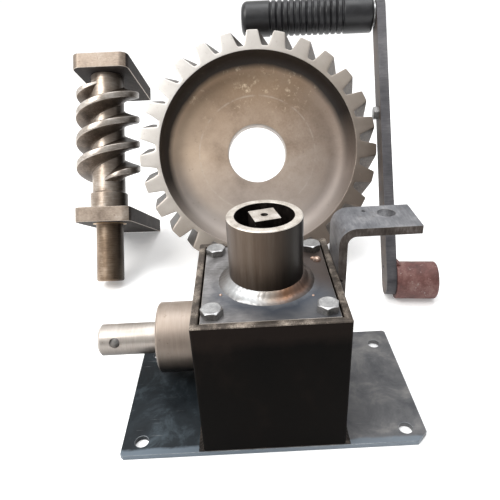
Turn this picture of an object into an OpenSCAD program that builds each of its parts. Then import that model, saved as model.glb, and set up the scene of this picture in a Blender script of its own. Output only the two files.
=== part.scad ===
// Worm gear set: a hand-cranked worm gearbox on a base plate, a large worm wheel,
// its worm in two bearing plates, and a crank handle. Millimetres.
// Origin: underside of the base plate, on the axis of the output shaft.
// +X points away from the input shaft, +Y to the back, +Z up.

/* [Base plate] */
// Length of the base plate, left to right
base_l = 220; // [200:1:260]
// Depth of the base plate, front to back
base_d = 125; // [120:1:160]
// Thickness of the base plate
base_t = 4; // [4:0.5:8]
// Bolt spacing along the base plate
bolt_spacing_x = 192; // [180:1:196]
// Bolt spacing across the base plate
bolt_spacing_y = 95; // [90:1:100]
// Diameter of the four base bolt holes
base_hole_d = 10; // [7:0.5:12]

/* [Housing] */
// Width of the rectangular tube
housing_w = 100; // [96:1:110]
// Depth of the rectangular tube
housing_d = 110; // [106:1:120]
// Height of the housing rim above the floor
housing_top = 112; // [106:1:130]
// Wall thickness of the tube
wall = 5; // [4:0.5:6]

/* [Lid] */
// Thickness of the lid
lid_t = 6; // [5:0.5:8]
// Depth of the lid face below the rim
lid_drop = 1; // [0.5:0.25:2]
// Gap between the lid and the tube
lid_gap = 1; // [0.5:0.25:1.5]
// Lid bolt spacing, left to right
lid_bolt_x = 73; // [70:1:74]
// Lid bolt spacing, front to back
lid_bolt_y = 80; // [76:1:82]

/* [Output shaft] */
// Outer diameter of the output collar
collar_od = 51; // [48:1:56]
// Bore of the output collar
collar_bore = 40; // [38:1:42]
// Height of the output collar above the lid
collar_h = 49; // [40:1:60]
// Diameter of the output shaft
output_d = 25; // [24:1:26]
// Width across the flats of the square output end
square_af = 17.5; // [16:0.5:18]
// Turn of the square output end
square_turn = 14; // [0:1:45]

/* [Input shaft] */
// Diameter of the input shaft
input_d = 26; // [24:1:28]
// How far the input shaft stands out of the housing wall
input_reach = 86; // [80:1:100]
// Outer diameter of the input boss
boss_od = 57; // [50:1:60]
// Length of the input boss
boss_l = 37; // [30:1:45]
// Height of the input axis above the floor
input_z = 41; // [38:1:46]

/* [Inner gear pair] */
// Module of the inner worm and wheel
inner_module = 2; // [2]
// Teeth of the inner wheel
inner_teeth = 18; // [18]
// Pitch diameter of the inner worm
inner_worm_pd = 24; // [24]
// Face width of the inner wheel
inner_face = 14; // [10:1:16]

/* [Side bracket] */
// Width of the side bracket
bracket_w = 36; // [30:1:40]
// Thickness of the side bracket
bracket_t = 6; // [5:0.5:8]
// Height of the bracket shelf above the floor
bracket_top = 146; // [135:1:150]
// Reach of the bracket shelf from the housing wall
bracket_reach = 56; // [50:1:70]
// Diameter of the hole in the shelf
bracket_hole_d = 13; // [8:0.5:16]

/* [Large worm wheel] */
// Module of the large worm and wheel
gear_module = 9; // [9]
// Teeth of the large wheel
gear_teeth = 27; // [27]
// Face width of the large wheel
gear_face = 45; // [40:1:50]
// Bore of the large wheel
gear_bore = 65; // [60:1:70]
// Depth of the dish in the front of the wheel
dish_depth = 30; // [20:1:32]
// Lean of the wheel from upright
gear_lean = 28; // [20:1:32]

/* [Large worm] */
// Outer diameter of the worm thread
worm_od = 70; // [68:1:72]
// Starts of the worm thread
worm_starts = 2; // [2]
// Root diameter of the worm thread
worm_root = 36; // [36:0.5:38]
// Diameter of the worm shaft end
worm_shaft_d = 30; // [28:1:32]
// Length of shaft below the lower plate
worm_stub = 64; // [60:1:70]
// Width of the bearing plates
plate_w = 61; // [58:1:66]
// Thickness of the bearing plates
plate_t = 16; // [14:1:18]
// Lean of the worm set from upright
worm_lean = 31; // [30:1:33]

/* [Crank handle] */
// Distance between the hub axis and the grip axis
crank_throw = 308; // [304:1:312]
// Width of the arm
arm_w = 30; // [26:1:32]
// Thickness of the arm
arm_t = 10; // [8:1:12]
// Outer diameter of the hub pipe
hub_od = 38; // [36:1:40]
// Length of the hub pipe
hub_l = 40; // [38:1:50]
// Diameter of the grip
grip_d = 39; // [36:1:40]
// Length of the grip
grip_l = 150; // [140:1:155]
// Ribs round the grip
grip_ribs = 12; // [8:1:12]

/* [Hidden] */
$fn = 72;
slack = 0.03;          // radial running clearance of every shaft in its bush
eps = 1;               // how far a cutting tool runs past a face
cut = 1.5;             // chamfer on turned edges

base_y0 = -housing_d / 2;
bolt_mid_y = 4.5;
inner_w = housing_w - 2 * wall;
inner_d = housing_d - 2 * wall;
lid_top = housing_top - lid_drop;
lid_bottom = lid_top - lid_t;
lug = 17;
lug_h = 20;
bolt_d = 8;
bolt_af = 13;
bolt_head_h = 5.3;
weld_leg = 4;

cup_od = 44;
cup_h = 19;
cup_floor = 3;
journal_d = 20;
bottom_bush_od = 30;
shaft_foot_z = base_t + cup_floor + 1;
cup_top = base_t + cup_h;
thrust_t = 2;
shoulder_z = cup_top + thrust_t + 0.1;
top_bush_h = 20;
collar_top = lid_top + collar_h;
shaft_round_top = lid_top + top_bush_h + 2;
key_pin_d = 5;

input_y = inner_module * inner_teeth / 2 + inner_worm_pd / 2;
input_end = -housing_w / 2 - input_reach;
inner_shaft_d = 14;
relief = 0.4;           // the free shaft ends are this much smaller than their journals
input_chamfer = 2;
input_free_l = input_reach - boss_l - 1;
boss_bush_od = 36;
boss_bead = 3.4;
stop_w = 8;
stop_x = -inner_w / 2 + 0.5;
step_x = stop_x + stop_w + 0.6;
inner_worm_l = 36;
inner_hub_l = 16;
inner_hub_od = 24;
inner_lead = PI * inner_module;
inner_add = 1.8;
inner_ded = 2.4;
inner_boss_l = 18;
inner_bush_od = 20;
inner_boss_x = inner_w / 2 - inner_boss_l;
cross_hole_d = 8.5;
cross_hole_in = 14;
cross_hole_tilt = 66;

gear_pitch_r = gear_module * gear_teeth / 2;
gear_tip_r = gear_pitch_r + 0.8 * gear_module;
gear_root_r = gear_pitch_r - 1.1 * gear_module;
gear_pitch = PI * gear_module;
gear_x = 4;
gear_y = 228;
gear_z = gear_tip_r * cos(gear_lean) + gear_face * sin(gear_lean);
worm_pitch_r = (worm_od - 1.6 * gear_module) / 2;
worm_lead = worm_starts * gear_pitch;
gear_twist = gear_face * worm_lead / (2 * PI * worm_pitch_r) / gear_pitch_r * 180 / PI;

worm_z_plate = worm_stub;
worm_free_r = (worm_shaft_d - relief) / 2;
worm_z_neck = worm_z_plate + plate_t + 0.3;
worm_neck_d = 41;
worm_z_core = worm_z_neck + 19;
thread_z0 = worm_z_core + 10;
thread_turns = 1.98;
thread_start = 83;
worm_z_journal = 230.7;
worm_journal_d = 26;
worm_z_top = worm_z_journal + plate_t + 0.3;
worm_bush_wall = 3;
plate_front = 30;
plate_back_bottom = worm_free_r - cut + worm_stub / tan(worm_lean);
plate_back_top = 80;
worm_x = -167;
worm_y = 178;
worm_yaw = -2.5;

crank_x = 126;
crank_y = 133;
crank_yaw = -6;
hub_bore = 26;
grip_height = 254;
grip_gap = 3;
crank_lean = acos((grip_height - hub_od / 2) / crank_throw);
spindle_d = 12;
spindle_head_d = 20;
spindle_head_h = 6;
spindle_seat = 8;

// ---------- shared shapes ----------

module rounded_rect(w, l, r) {
    square([w - 2 * r, l], center = true);
    square([w, l - 2 * r], center = true);
    for (x = [-1, 1], y = [-1, 1])
        translate([x * (w / 2 - r), y * (l / 2 - r)]) circle(r);
}

module tube(d_out, d_in, h) {
    difference() {
        cylinder(d = d_out, h = h);
        translate([0, 0, -eps]) cylinder(d = d_in, h = h + 2 * eps);
    }
}

// A tube with a chamfer at the top of its outer edge
module chamfered_tube(d_out, d_in, h, c) {
    rotate_extrude()
        polygon([
            [d_in / 2, 0], [d_out / 2, 0], [d_out / 2, h - c],
            [d_out / 2 - c, h], [d_in / 2, h]
        ]);
}

// A solid bar with a chamfer at its start
module chamfered_bar(d, h, c) {
    rotate_extrude()
        polygon([[0, 0], [d / 2 - c, 0], [d / 2, c], [d / 2, h], [0, h]]);
}

// A weld bead round a tube: flat foot, slightly crowned face
module ring_bead(d, leg_out, leg_up) {
    rotate_extrude()
        polygon([
            [d / 2, 0], [d / 2 + leg_out, 0], [d / 2 + 0.72 * leg_out, 0.42 * leg_up],
            [d / 2 + 0.42 * leg_out, 0.72 * leg_up], [d / 2, leg_up]
        ]);
}

// A straight weld bead along +Y, in the corner between a wall on the left and a floor
module straight_bead(length, leg) {
    rotate([-90, 0, 0])
        linear_extrude(length)
            polygon([[0, 0], [leg, 0], [0.55 * leg, -0.55 * leg], [0, -leg]]);
}

// A hexagon head with its top corners turned off
module hex_head(af, h) {
    corner_r = af / sqrt(3);
    intersection() {
        cylinder(r = corner_r, h = h, $fn = 6);
        cylinder(r1 = corner_r + h * 1.2, r2 = af / 2 * 0.97, h = h);
    }
}

module at_lid_bolts() {
    for (x = [-1, 1], y = [-1, 1])
        translate([x * lid_bolt_x / 2, y * lid_bolt_y / 2, 0]) children();
}

// Local Z becomes the input axis, pointing to +X
module on_input_axis() {
    translate([0, input_y, input_z]) rotate([0, 90, 0]) children();
}

module in_worm_set() {
    lift = (worm_free_r - cut) * sin(worm_lean);
    translate([worm_x, worm_y, lift]) rotate([0, 0, worm_yaw]) rotate([-worm_lean, 0, 0]) children();
}

// Local X is the hub axis, local Z runs along the arm
module in_crank() {
    translate([crank_x, crank_y, hub_od / 2]) rotate([0, 0, crank_yaw]) rotate([-crank_lean, 0, 0]) children();
}

// Local Z becomes the crank's X direction at height h along the arm
module crank_axis(h) {
    in_crank() translate([0, 0, h]) rotate([0, 90, 0]) children();
}

// One trapezoid thread round Z, right-handed, whose height fades in and out over its ends.
// At turn 0 it is at height z_ref, on the +X side.
module screw_thread(r_in, r_tip, base_w, tip_w, lead, turn_0, turn_1, z_ref, steps, fade) {
    count = round((turn_1 - turn_0) * steps);
    turns = [for (i = [0:count]) turn_0 + (turn_1 - turn_0) * i / count];
    rise = [for (t = turns) max(0.04, min(1, (t - turn_0) / fade, (turn_1 - t) / fade))];
    pts = [
        for (i = [0:count])
            let (
                a = turns[i] * 360,
                z = z_ref + turns[i] * lead,
                r = r_in + (r_tip - r_in) * rise[i],
                half_base = base_w / 2,
                half_tip = half_base + (tip_w / 2 - half_base) * rise[i]
            )
            for (p = [[r_in, -half_base], [r, -half_tip], [r, half_tip], [r_in, half_base]])
                [p[0] * cos(a), p[0] * sin(a), z + p[1]]
    ];
    sides = [
        for (i = [0:count - 1], k = [0:3])
            let (a = 4 * i + k, b = 4 * i + (k + 1) % 4)
            for (f = [[a, b, b + 4], [a, b + 4, a + 4]]) f
    ];
    ends = [[3, 2, 1, 0], [for (k = [0:3]) 4 * count + k]];
    polyhedron(pts, concat(sides, ends));
}

// Outline of a gear: each tooth is straight-sided, from half angles at three radii
module gear_outline(teeth, r_root, r_pitch, r_tip, half_root, half_pitch, half_tip, start) {
    polygon([
        for (i = [0:teeth - 1], p = [
            [r_root, -half_root], [r_pitch, -half_pitch], [r_tip, -half_tip],
            [r_tip, half_tip], [r_pitch, half_pitch], [r_root, half_root]
        ])
            let (a = start + i * 360 / teeth + p[1])
            [p[0] * cos(a), p[0] * sin(a)]
    ]);
}

// ---------- gearbox, fixed pieces ----------

module base_plate() {
    x = base_l / 2;
    y = base_y0 + base_d;
    small = 2;
    clipped = 8;
    color("slategray")
        difference() {
            linear_extrude(base_t)
                polygon([
                    [-x + small, base_y0], [x - clipped, base_y0], [x, base_y0 + clipped],
                    [x, y - small], [x - small, y], [-x + small, y],
                    [-x, y - small], [-x, base_y0 + small]
                ]);
            for (hx = [-1, 1], hy = [-1, 1])
                translate([hx * bolt_spacing_x / 2, bolt_mid_y + hy * bolt_spacing_y / 2, -eps])
                    cylinder(d = base_hole_d, h = base_t + 2 * eps);
        }
}

module housing() {
    color("#2e2a2c")
        difference() {
            translate([0, 0, base_t])
                linear_extrude(housing_top - base_t)
                    difference() {
                        rounded_rect(housing_w, housing_d, 1.5);
                        square([inner_w, inner_d], center = true);
                    }
            translate([-housing_w / 2 - eps, 0, 0])
                on_input_axis() cylinder(d = boss_bush_od, h = wall + 2 * eps);
        }
}

module housing_weld() {
    color("dimgray") {
        translate([housing_w / 2, base_y0, base_t])
            straight_bead(housing_d, weld_leg);
        translate([-housing_w / 2, -base_y0, base_t])
            rotate([0, 0, 180]) straight_bead(housing_d, weld_leg);
        translate([housing_w / 2, housing_d / 2, base_t])
            rotate([0, 0, 90]) straight_bead(housing_w, weld_leg);
    }
}

module lid_lugs() {
    color("gray")
        difference() {
            for (x = [-1, 1], y = [-1, 1])
                translate([
                    x * (inner_w - lug) / 2 - lug / 2,
                    y * (inner_d - lug) / 2 - lug / 2,
                    lid_bottom - lug_h
                ])
                    cube([lug, lug, lug_h]);
            at_lid_bolts() translate([0, 0, lid_bottom - lug_h - eps])
                cylinder(d = bolt_d, h = lug_h + 2 * eps);
        }
}

module lid() {
    color("silver")
        difference() {
            translate([0, 0, lid_bottom])
                linear_extrude(lid_t)
                    square([inner_w - 2 * lid_gap, inner_d - 2 * lid_gap], center = true);
            translate([0, 0, lid_bottom - eps])
                cylinder(d = output_d + 5, h = lid_t + 2 * eps);
            at_lid_bolts() translate([0, 0, lid_bottom - eps])
                cylinder(d = bolt_d + 1, h = lid_t + 2 * eps);
        }
}

module lid_bolts() {
    shank = lid_t + 14;
    color("silver")
        at_lid_bolts() translate([0, 0, lid_top]) {
            rotate([0, 0, 15]) hex_head(bolt_af, bolt_head_h);
            translate([0, 0, -shank]) cylinder(d = bolt_d - 0.06, h = shank + 0.01);
        }
}

module output_collar() {
    color("#6b6259")
        translate([0, 0, lid_top]) chamfered_tube(collar_od, collar_bore, collar_h, 0.8);
}

module collar_weld() {
    color("lightgray")
        translate([0, 0, lid_top]) ring_bead(collar_od, 8, 6);
}

module output_bush_top() {
    color("peru")
        translate([0, 0, lid_top]) tube(collar_bore, output_d + 2 * slack, top_bush_h);
}

module bottom_bearing_cup() {
    color("dimgray")
        translate([0, 0, base_t])
            difference() {
                cylinder(d = cup_od, h = cup_h);
                translate([0, 0, cup_floor]) cylinder(d = bottom_bush_od, h = cup_h);
            }
}

module output_bush_bottom() {
    color("peru")
        translate([0, 0, base_t + cup_floor])
            tube(bottom_bush_od, journal_d + 2 * slack, cup_h - cup_floor);
}

module thrust_washer() {
    color("peru")
        translate([0, 0, cup_top]) tube(34, journal_d + 0.8, thrust_t);
}

module input_boss() {
    color("tan")
        on_input_axis()
            translate([0, 0, -housing_w / 2])
                mirror([0, 0, 1]) chamfered_tube(boss_od, boss_bush_od, boss_l, cut);
}

module input_boss_weld() {
    color("gray")
        on_input_axis()
            translate([0, 0, -housing_w / 2])
                mirror([0, 0, 1]) ring_bead(boss_od, boss_bead, boss_bead);
}

module input_bush_outer() {
    color("peru")
        on_input_axis()
            translate([0, 0, -housing_w / 2 - boss_l + 2])
                tube(boss_bush_od, input_d + 2 * slack, boss_l - 2 + wall);
}

module inner_boss() {
    color("dimgray")
        on_input_axis()
            translate([0, 0, inner_boss_x]) tube(34, inner_bush_od, inner_boss_l);
}

module input_bush_inner() {
    color("peru")
        on_input_axis()
            translate([0, 0, inner_boss_x])
                tube(inner_bush_od, inner_shaft_d + 2 * slack, inner_boss_l);
}

module side_bracket() {
    foot_z = 52;
    bend_in = 6;
    bend_out = bend_in + bracket_t;
    wall_x = housing_w / 2;
    color("lightslategray")
        difference() {
            union() {
                translate([wall_x, 0, foot_z])
                    cube([bracket_t, bracket_w, bracket_top - bend_out - foot_z]);
                translate([wall_x + bend_out, 0, bracket_top - bracket_t])
                    cube([bracket_reach - bend_out, bracket_w, bracket_t]);
                translate([wall_x + bend_out, bracket_w, bracket_top - bend_out])
                    rotate([90, 0, 0])
                        rotate_extrude(angle = 90, start = 90)
                            translate([bend_in, 0]) square([bracket_t, bracket_w]);
            }
            translate([wall_x + 37, 23, bracket_top - 2 * bracket_t])
                cylinder(d = bracket_hole_d, h = 3 * bracket_t);
            translate([wall_x + 22, 28, bracket_top - 2]) cylinder(d = 3, h = 3);
        }
}

module bracket_weld() {
    foot_z = 54;
    bead_h = 52;
    color("dimgray")
        for (side = [0, 1])
            translate([housing_w / 2, side * bracket_w, foot_z])
                mirror([0, 1 - side, 0])
                    linear_extrude(bead_h)
                        polygon([[0, 0], [weld_leg, 0], [0.55 * weld_leg, 0.55 * weld_leg], [0, weld_leg]]);
}

// ---------- input shaft and its pieces ----------

module input_shaft() {
    inner_end = inner_w / 2 - 1;
    color("tan")
        on_input_axis()
            difference() {
                union() {
                    translate([0, 0, input_end])
                        chamfered_bar(input_d - relief, input_free_l + 1, input_chamfer);
                    translate([0, 0, input_end + input_free_l])
                        cylinder(d = input_d, h = step_x - input_end - input_free_l);
                    translate([0, 0, step_x - 1]) cylinder(d = inner_shaft_d, h = inner_end - step_x + 1);
                }
                translate([0, 0, input_end + cross_hole_in])
                    rotate([90, 0, 90 + cross_hole_tilt])
                        cylinder(d = cross_hole_d, h = 2 * input_d, center = true);
                translate([0, 0, -inner_worm_l / 2 - inner_hub_l / 2])
                    rotate([90, 0, 0]) cylinder(d = 4, h = 2 * input_d, center = true);
            }
}

module drive_worm() {
    root_r = inner_worm_pd / 2 - inner_ded;
    tip_r = inner_worm_pd / 2 + inner_add;
    half_pitch = 1.3;
    flank = tan(20);
    below = 0.8;
    base_w = 2 * (half_pitch + (inner_ded + below) * flank);
    tip_w = 2 * (half_pitch - inner_add * flank);
    turns = inner_worm_l / 2 / inner_lead - 0.45;
    color("silver")
        on_input_axis()
            difference() {
                union() {
                    translate([0, 0, -inner_worm_l / 2]) cylinder(r = root_r, h = inner_worm_l);
                    translate([0, 0, -inner_worm_l / 2 - inner_hub_l])
                        cylinder(d = inner_hub_od, h = inner_hub_l);
                    rotate([0, 0, -90])
                        screw_thread(root_r - below, tip_r, base_w, tip_w, inner_lead,
                            -turns, turns, 0, 24, 0.4);
                }
                translate([0, 0, -inner_worm_l])
                    cylinder(d = inner_shaft_d, h = 2 * inner_worm_l);
                translate([0, 0, -inner_worm_l / 2 - inner_hub_l / 2])
                    rotate([90, 0, 0]) cylinder(d = 4, h = 2 * input_d, center = true);
            }
}

module drive_worm_pin() {
    color("gray")
        on_input_axis()
            translate([0, 0, -inner_worm_l / 2 - inner_hub_l / 2])
                rotate([90, 0, 0]) cylinder(d = 4, h = inner_hub_od, center = true);
}

module input_spacer() {
    gap = inner_boss_x - inner_worm_l / 2;
    color("gray")
        on_input_axis()
            translate([0, 0, inner_worm_l / 2]) tube(20, inner_shaft_d, gap - 0.15);
}

module stop_collar() {
    color("dimgray")
        on_input_axis()
            translate([0, 0, stop_x])
                difference() {
                    tube(40, input_d, stop_w);
                    translate([0, 0, stop_w / 2]) rotate([-90, 0, 0]) cylinder(d = 5, h = 40);
                }
}

module stop_collar_screw() {
    color("black")
        on_input_axis()
            translate([0, 0, stop_x + stop_w / 2])
                rotate([-90, 0, 0])
                    translate([0, 0, input_d / 2])
                        difference() {
                            cylinder(d = 5, h = 20 - input_d / 2);
                            translate([0, 0, 4]) cylinder(d = 2.9, h = 10, $fn = 6);
                        }
}

// ---------- output shaft and its pieces ----------

module output_shaft() {
    pin_z = input_z + inner_face / 2 + 7;
    color("tan")
        difference() {
            union() {
                translate([0, 0, shaft_foot_z]) chamfered_bar(journal_d, shoulder_z - shaft_foot_z + 1, 1);
                translate([0, 0, shoulder_z]) cylinder(d = output_d, h = shaft_round_top - shoulder_z);
                intersection() {
                    rotate([0, 0, square_turn])
                        translate([-square_af / 2, -square_af / 2, shaft_round_top - 1])
                            cube([square_af, square_af, collar_top - shaft_round_top + 1]);
                    cylinder(d = output_d - 0.6, h = 2 * collar_top);
                }
            }
            translate([0, 0, collar_top - 4]) cylinder(d1 = 0.5, d2 = 5, h = 4.01);
            translate([0, 0, pin_z]) rotate([90, 0, 0]) cylinder(d = key_pin_d, h = 60, center = true);
        }
}

module drive_wheel() {
    hub_h = 14;
    hub_od = 36;
    pitch_r = inner_module * inner_teeth / 2;
    twist = inner_face * inner_module / inner_worm_pd / pitch_r * 180 / PI;
    color("goldenrod")
        difference() {
            union() {
                translate([0, 0, input_z - inner_face / 2])
                    rotate([0, 0, -twist / 2])
                        linear_extrude(inner_face, twist = -twist, slices = 4)
                            gear_outline(inner_teeth, pitch_r - inner_ded, pitch_r, pitch_r + inner_add,
                                6.6, 4.1, 2, 90 + 180 / inner_teeth);
                translate([0, 0, input_z + inner_face / 2]) cylinder(d = 30, h = hub_h);
            }
            translate([0, 0, input_z - inner_face]) cylinder(d = output_d, h = 4 * inner_face);
            translate([0, 0, input_z + inner_face / 2 + 7])
                rotate([90, 0, 0]) cylinder(d = key_pin_d, h = 2 * hub_od, center = true);
        }
}

module drive_wheel_pin() {
    color("gray")
        translate([0, 0, input_z + inner_face / 2 + 7])
            rotate([90, 0, 0]) cylinder(d = key_pin_d, h = 29, center = true);
}

// ---------- crank handle ----------

module crank_arm() {
    color("#5c5a5e")
        crank_axis(0)
            difference() {
                linear_extrude(arm_t)
                    union() {
                        circle(d = arm_w);
                        translate([-crank_throw, -arm_w / 2]) square([crank_throw, arm_w]);
                        translate([-crank_throw, 0]) circle(d = arm_w);
                    }
                translate([-crank_throw, 0, -eps]) cylinder(d = spindle_d, h = arm_t + 2 * eps);
                translate([-14, 2, -eps]) cylinder(d = 4, h = arm_t + 2 * eps);
            }
}

module crank_hub() {
    color("#7a4a42")
        crank_axis(0)
            translate([0, 0, arm_t]) chamfered_tube(hub_od, hub_bore, hub_l, cut);
}

module crank_hub_weld() {
    color("#6a4038")
        crank_axis(0)
            translate([0, 0, arm_t])
                intersection() {
                    ring_bead(hub_od, weld_leg, weld_leg);
                    translate([-arm_w, -arm_w / 2, 0]) cube([arm_w, arm_w, 10]);
                }
}

module arm_bolt() {
    color("lightsteelblue")
        crank_axis(0.6 * crank_throw) mirror([0, 0, 1]) hex_head(bolt_af, 6);
}

module grip_spindle() {
    color("gray")
        crank_axis(crank_throw)
            union() {
                translate([0, 0, -grip_gap - grip_l + spindle_seat - spindle_head_h])
                    chamfered_bar(spindle_head_d, spindle_head_h, 1);
                translate([0, 0, -grip_gap - grip_l + spindle_seat - 1])
                    cylinder(d = spindle_d, h = arm_t + grip_gap + grip_l - spindle_seat + 1);
            }
}

module grip_washer() {
    color("silver")
        crank_axis(crank_throw)
            translate([0, 0, -2.2]) tube(26, spindle_d, 2.2);
}

module grip() {
    rib_zone = 0.55 * grip_l;
    rib_pitch = rib_zone / grip_ribs;
    rib_z0 = (grip_l - rib_zone) / 2;
    groove = 1.8;
    end_r = 7;
    r = grip_d / 2;
    color("#1c1c1e")
        crank_axis(crank_throw)
            translate([0, 0, -grip_gap - grip_l])
                difference() {
                    rotate_extrude()
                        difference() {
                            union() {
                                translate([0, end_r]) square([r, grip_l - end_r - 2]);
                                square([r - end_r, grip_l]);
                                translate([r - end_r, end_r]) circle(end_r);
                                square([r - 2, grip_l - 1]);
                            }
                            translate([-2 * r, -eps]) square([2 * r, grip_l + 2 * eps]);
                            for (i = [0:grip_ribs])
                                translate([r, rib_z0 + i * rib_pitch])
                                    polygon([
                                        [1, -0.3 * rib_pitch], [-groove, -0.12 * rib_pitch],
                                        [-groove, 0.12 * rib_pitch], [1, 0.3 * rib_pitch]
                                    ]);
                        }
                    translate([0, 0, -eps]) cylinder(d = spindle_d + 2 * slack, h = grip_l + 2 * eps);
                    translate([0, 0, -eps]) cylinder(d = spindle_head_d + 2, h = spindle_seat + eps);
                }
}

// ---------- worm in its bearing plates ----------

module bearing_plate(z, bore_d, back) {
    corner = 9;
    in_worm_set()
        translate([0, 0, z])
            difference() {
                linear_extrude(plate_t)
                    union() {
                        translate([-plate_w / 2, -plate_front + corner])
                            square([plate_w, plate_front - corner + back]);
                        translate([-plate_w / 2 + corner, -plate_front])
                            square([plate_w - 2 * corner, 2 * corner]);
                        for (x = [-1, 1])
                            translate([x * (plate_w / 2 - corner), -plate_front + corner])
                                circle(corner);
                    }
                translate([0, 0, -eps]) cylinder(d = bore_d, h = plate_t + 2 * eps);
            }
}

module worm_plate_bottom() {
    color("#8a8078") bearing_plate(worm_z_plate, worm_shaft_d + 2 * worm_bush_wall, plate_back_bottom);
}

module worm_plate_top() {
    color("#8a8078")
        bearing_plate(worm_z_journal + 0.3, worm_journal_d + 2 * worm_bush_wall, plate_back_top);
}

module worm_bush_bottom() {
    color("peru")
        in_worm_set()
            translate([0, 0, worm_z_plate])
                tube(worm_shaft_d + 2 * worm_bush_wall, worm_shaft_d + 2 * slack, plate_t);
}

module worm_bush_top() {
    color("peru")
        in_worm_set()
            translate([0, 0, worm_z_journal + 0.3])
                tube(worm_journal_d + 2 * worm_bush_wall, worm_journal_d + 2 * slack, plate_t);
}

module worm() {
    below = 2;
    flank = 0.25;
    root_w = gear_pitch * 0.56;
    height = (worm_od - worm_root) / 2;
    base_w = root_w + 2 * below * flank;
    tip_w = root_w - 2 * height * flank;
    color("#5a4c42")
        in_worm_set()
            union() {
                rotate_extrude()
                    polygon([
                        [0, 0], [worm_free_r - cut, 0], [worm_free_r, cut],
                        [worm_free_r, worm_stub - 1], [worm_shaft_d / 2, worm_stub - 1],
                        [worm_shaft_d / 2, worm_z_neck], [worm_neck_d / 2 - 1, worm_z_neck],
                        [worm_neck_d / 2, worm_z_neck + 1], [worm_neck_d / 2, worm_z_core - 2],
                        [worm_root / 2, worm_z_core], [worm_root / 2, worm_z_journal],
                        [worm_journal_d / 2, worm_z_journal], [worm_journal_d / 2, worm_z_top - 1],
                        [worm_journal_d / 2 - 1, worm_z_top], [0, worm_z_top]
                    ]);
                for (start = [0:worm_starts - 1])
                    rotate([0, 0, thread_start + start * 360 / worm_starts])
                        screw_thread(worm_root / 2 - below, worm_od / 2, base_w, tip_w, worm_lead,
                            0, thread_turns, thread_z0, 32, 0.2);
            }
}

// ---------- large worm wheel ----------

module worm_wheel() {
    fillet = 22;
    wall_r = gear_root_r - 5;
    web_z = dish_depth;
    color("tan")
        translate([gear_x, gear_y, gear_z])
            rotate([-90 - gear_lean, 0, 0])
                difference() {
                    linear_extrude(gear_face, twist = -gear_twist, slices = 5)
                        gear_outline(gear_teeth, gear_root_r, gear_pitch_r, gear_tip_r,
                            4.9, 3.6, 2.7, -90);
                    rotate_extrude()
                        difference() {
                            union() {
                                translate([0, -eps]) square([wall_r, web_z - fillet + eps]);
                                square([wall_r - fillet, web_z]);
                                translate([wall_r - fillet, web_z - fillet]) circle(fillet);
                            }
                            translate([-2 * wall_r, -2 * wall_r]) square([2 * wall_r, 4 * wall_r]);
                        }
                    translate([0, 0, -eps]) cylinder(d = gear_bore, h = gear_face + 2 * eps);
                }
}

base_plate();
housing();
housing_weld();
lid_lugs();
lid();
lid_bolts();
output_collar();
collar_weld();
output_bush_top();
output_bush_bottom();
bottom_bearing_cup();
thrust_washer();
input_boss();
input_boss_weld();
input_bush_outer();
inner_boss();
input_bush_inner();
side_bracket();
bracket_weld();
input_shaft();
drive_worm();
drive_worm_pin();
input_spacer();
stop_collar();
stop_collar_screw();
output_shaft();
drive_wheel();
drive_wheel_pin();
crank_arm();
crank_hub();
crank_hub_weld();
arm_bolt();
grip_spindle();
grip_washer();
grip();
worm_plate_top();
worm_plate_bottom();
worm_bush_top();
worm_bush_bottom();
worm();
worm_wheel();
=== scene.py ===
import math

import bmesh
import bpy
import numpy as np
from mathutils import Matrix, Vector, noise


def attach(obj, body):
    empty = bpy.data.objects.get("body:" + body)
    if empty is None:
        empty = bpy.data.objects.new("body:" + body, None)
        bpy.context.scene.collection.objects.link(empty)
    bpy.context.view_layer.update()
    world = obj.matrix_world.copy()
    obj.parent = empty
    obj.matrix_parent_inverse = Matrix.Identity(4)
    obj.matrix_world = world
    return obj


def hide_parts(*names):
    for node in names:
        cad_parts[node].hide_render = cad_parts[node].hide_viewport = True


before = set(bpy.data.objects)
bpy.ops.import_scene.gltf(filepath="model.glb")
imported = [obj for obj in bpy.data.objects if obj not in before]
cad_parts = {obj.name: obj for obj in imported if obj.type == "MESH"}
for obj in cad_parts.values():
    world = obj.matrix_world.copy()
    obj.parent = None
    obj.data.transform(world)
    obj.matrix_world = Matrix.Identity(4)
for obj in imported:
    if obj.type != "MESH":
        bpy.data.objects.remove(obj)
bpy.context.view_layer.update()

MM = 0.001


# ---------- sizes that part.scad sets too (millimetres, degrees) ----------

BASE_T = 4
HOUSING_X, HOUSING_Y = 50, 55           # half the housing's width and depth
LID_TOP = 111
LID_BOLT_X, LID_BOLT_Y = 36.5, 40
BOLT_AF, BOLT_R, BOLT_SHANK = 13, 3.97, 20
COLLAR_R, COLLAR_BORE_R, COLLAR_H = 25.5, 20, 49
INPUT_Y, INPUT_Z = 30, 41
BOSS_R, BOSS_BORE_R, BOSS_H = 28.5, 18, 37
BRACKET_W = 36
BRACKET_WELD_LOW, BRACKET_WELD_HIGH = 54, 106

WORM_X, WORM_Y = -167, 178
WORM_YAW, WORM_LEAN = -2.5, 31
FREE_R, FREE_CHAMFER, SHAFT_R, JOURNAL_R = 14.8, 1.5, 15, 13
WORM_ROOT_R, WORM_TIP_R = 18, 35
WORM_STARTS, THREAD_TURNS, THREAD_START = 2, 1.98, 83

THROW, GRIP_Z = 308, 254
CRANK_X, CRANK_Y, CRANK_YAW = 126, 133, -6
HUB_R, HUB_BORE_R, HUB_L = 19, 13, 40
ARM_T = 10
GRIP_R, GRIP_L, GRIP_RIBS, GRIP_GAP = 19.5, 150, 12, 3

MODULE, TEETH, FACE = 9, 27, 45.0
TIP_R, PITCH_R, ROOT_R = 128.7, 121.5, 111.6
WHEEL_BORE_R, WEB_Z = 32.5, 30
WHEEL_X, WHEEL_Y, WHEEL_LEAN = 4, 228, 28


# ---------- frames of the tilted pieces ----------

def rot(axis, degrees):
    return Matrix.Rotation(math.radians(degrees), 4, axis)


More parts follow.
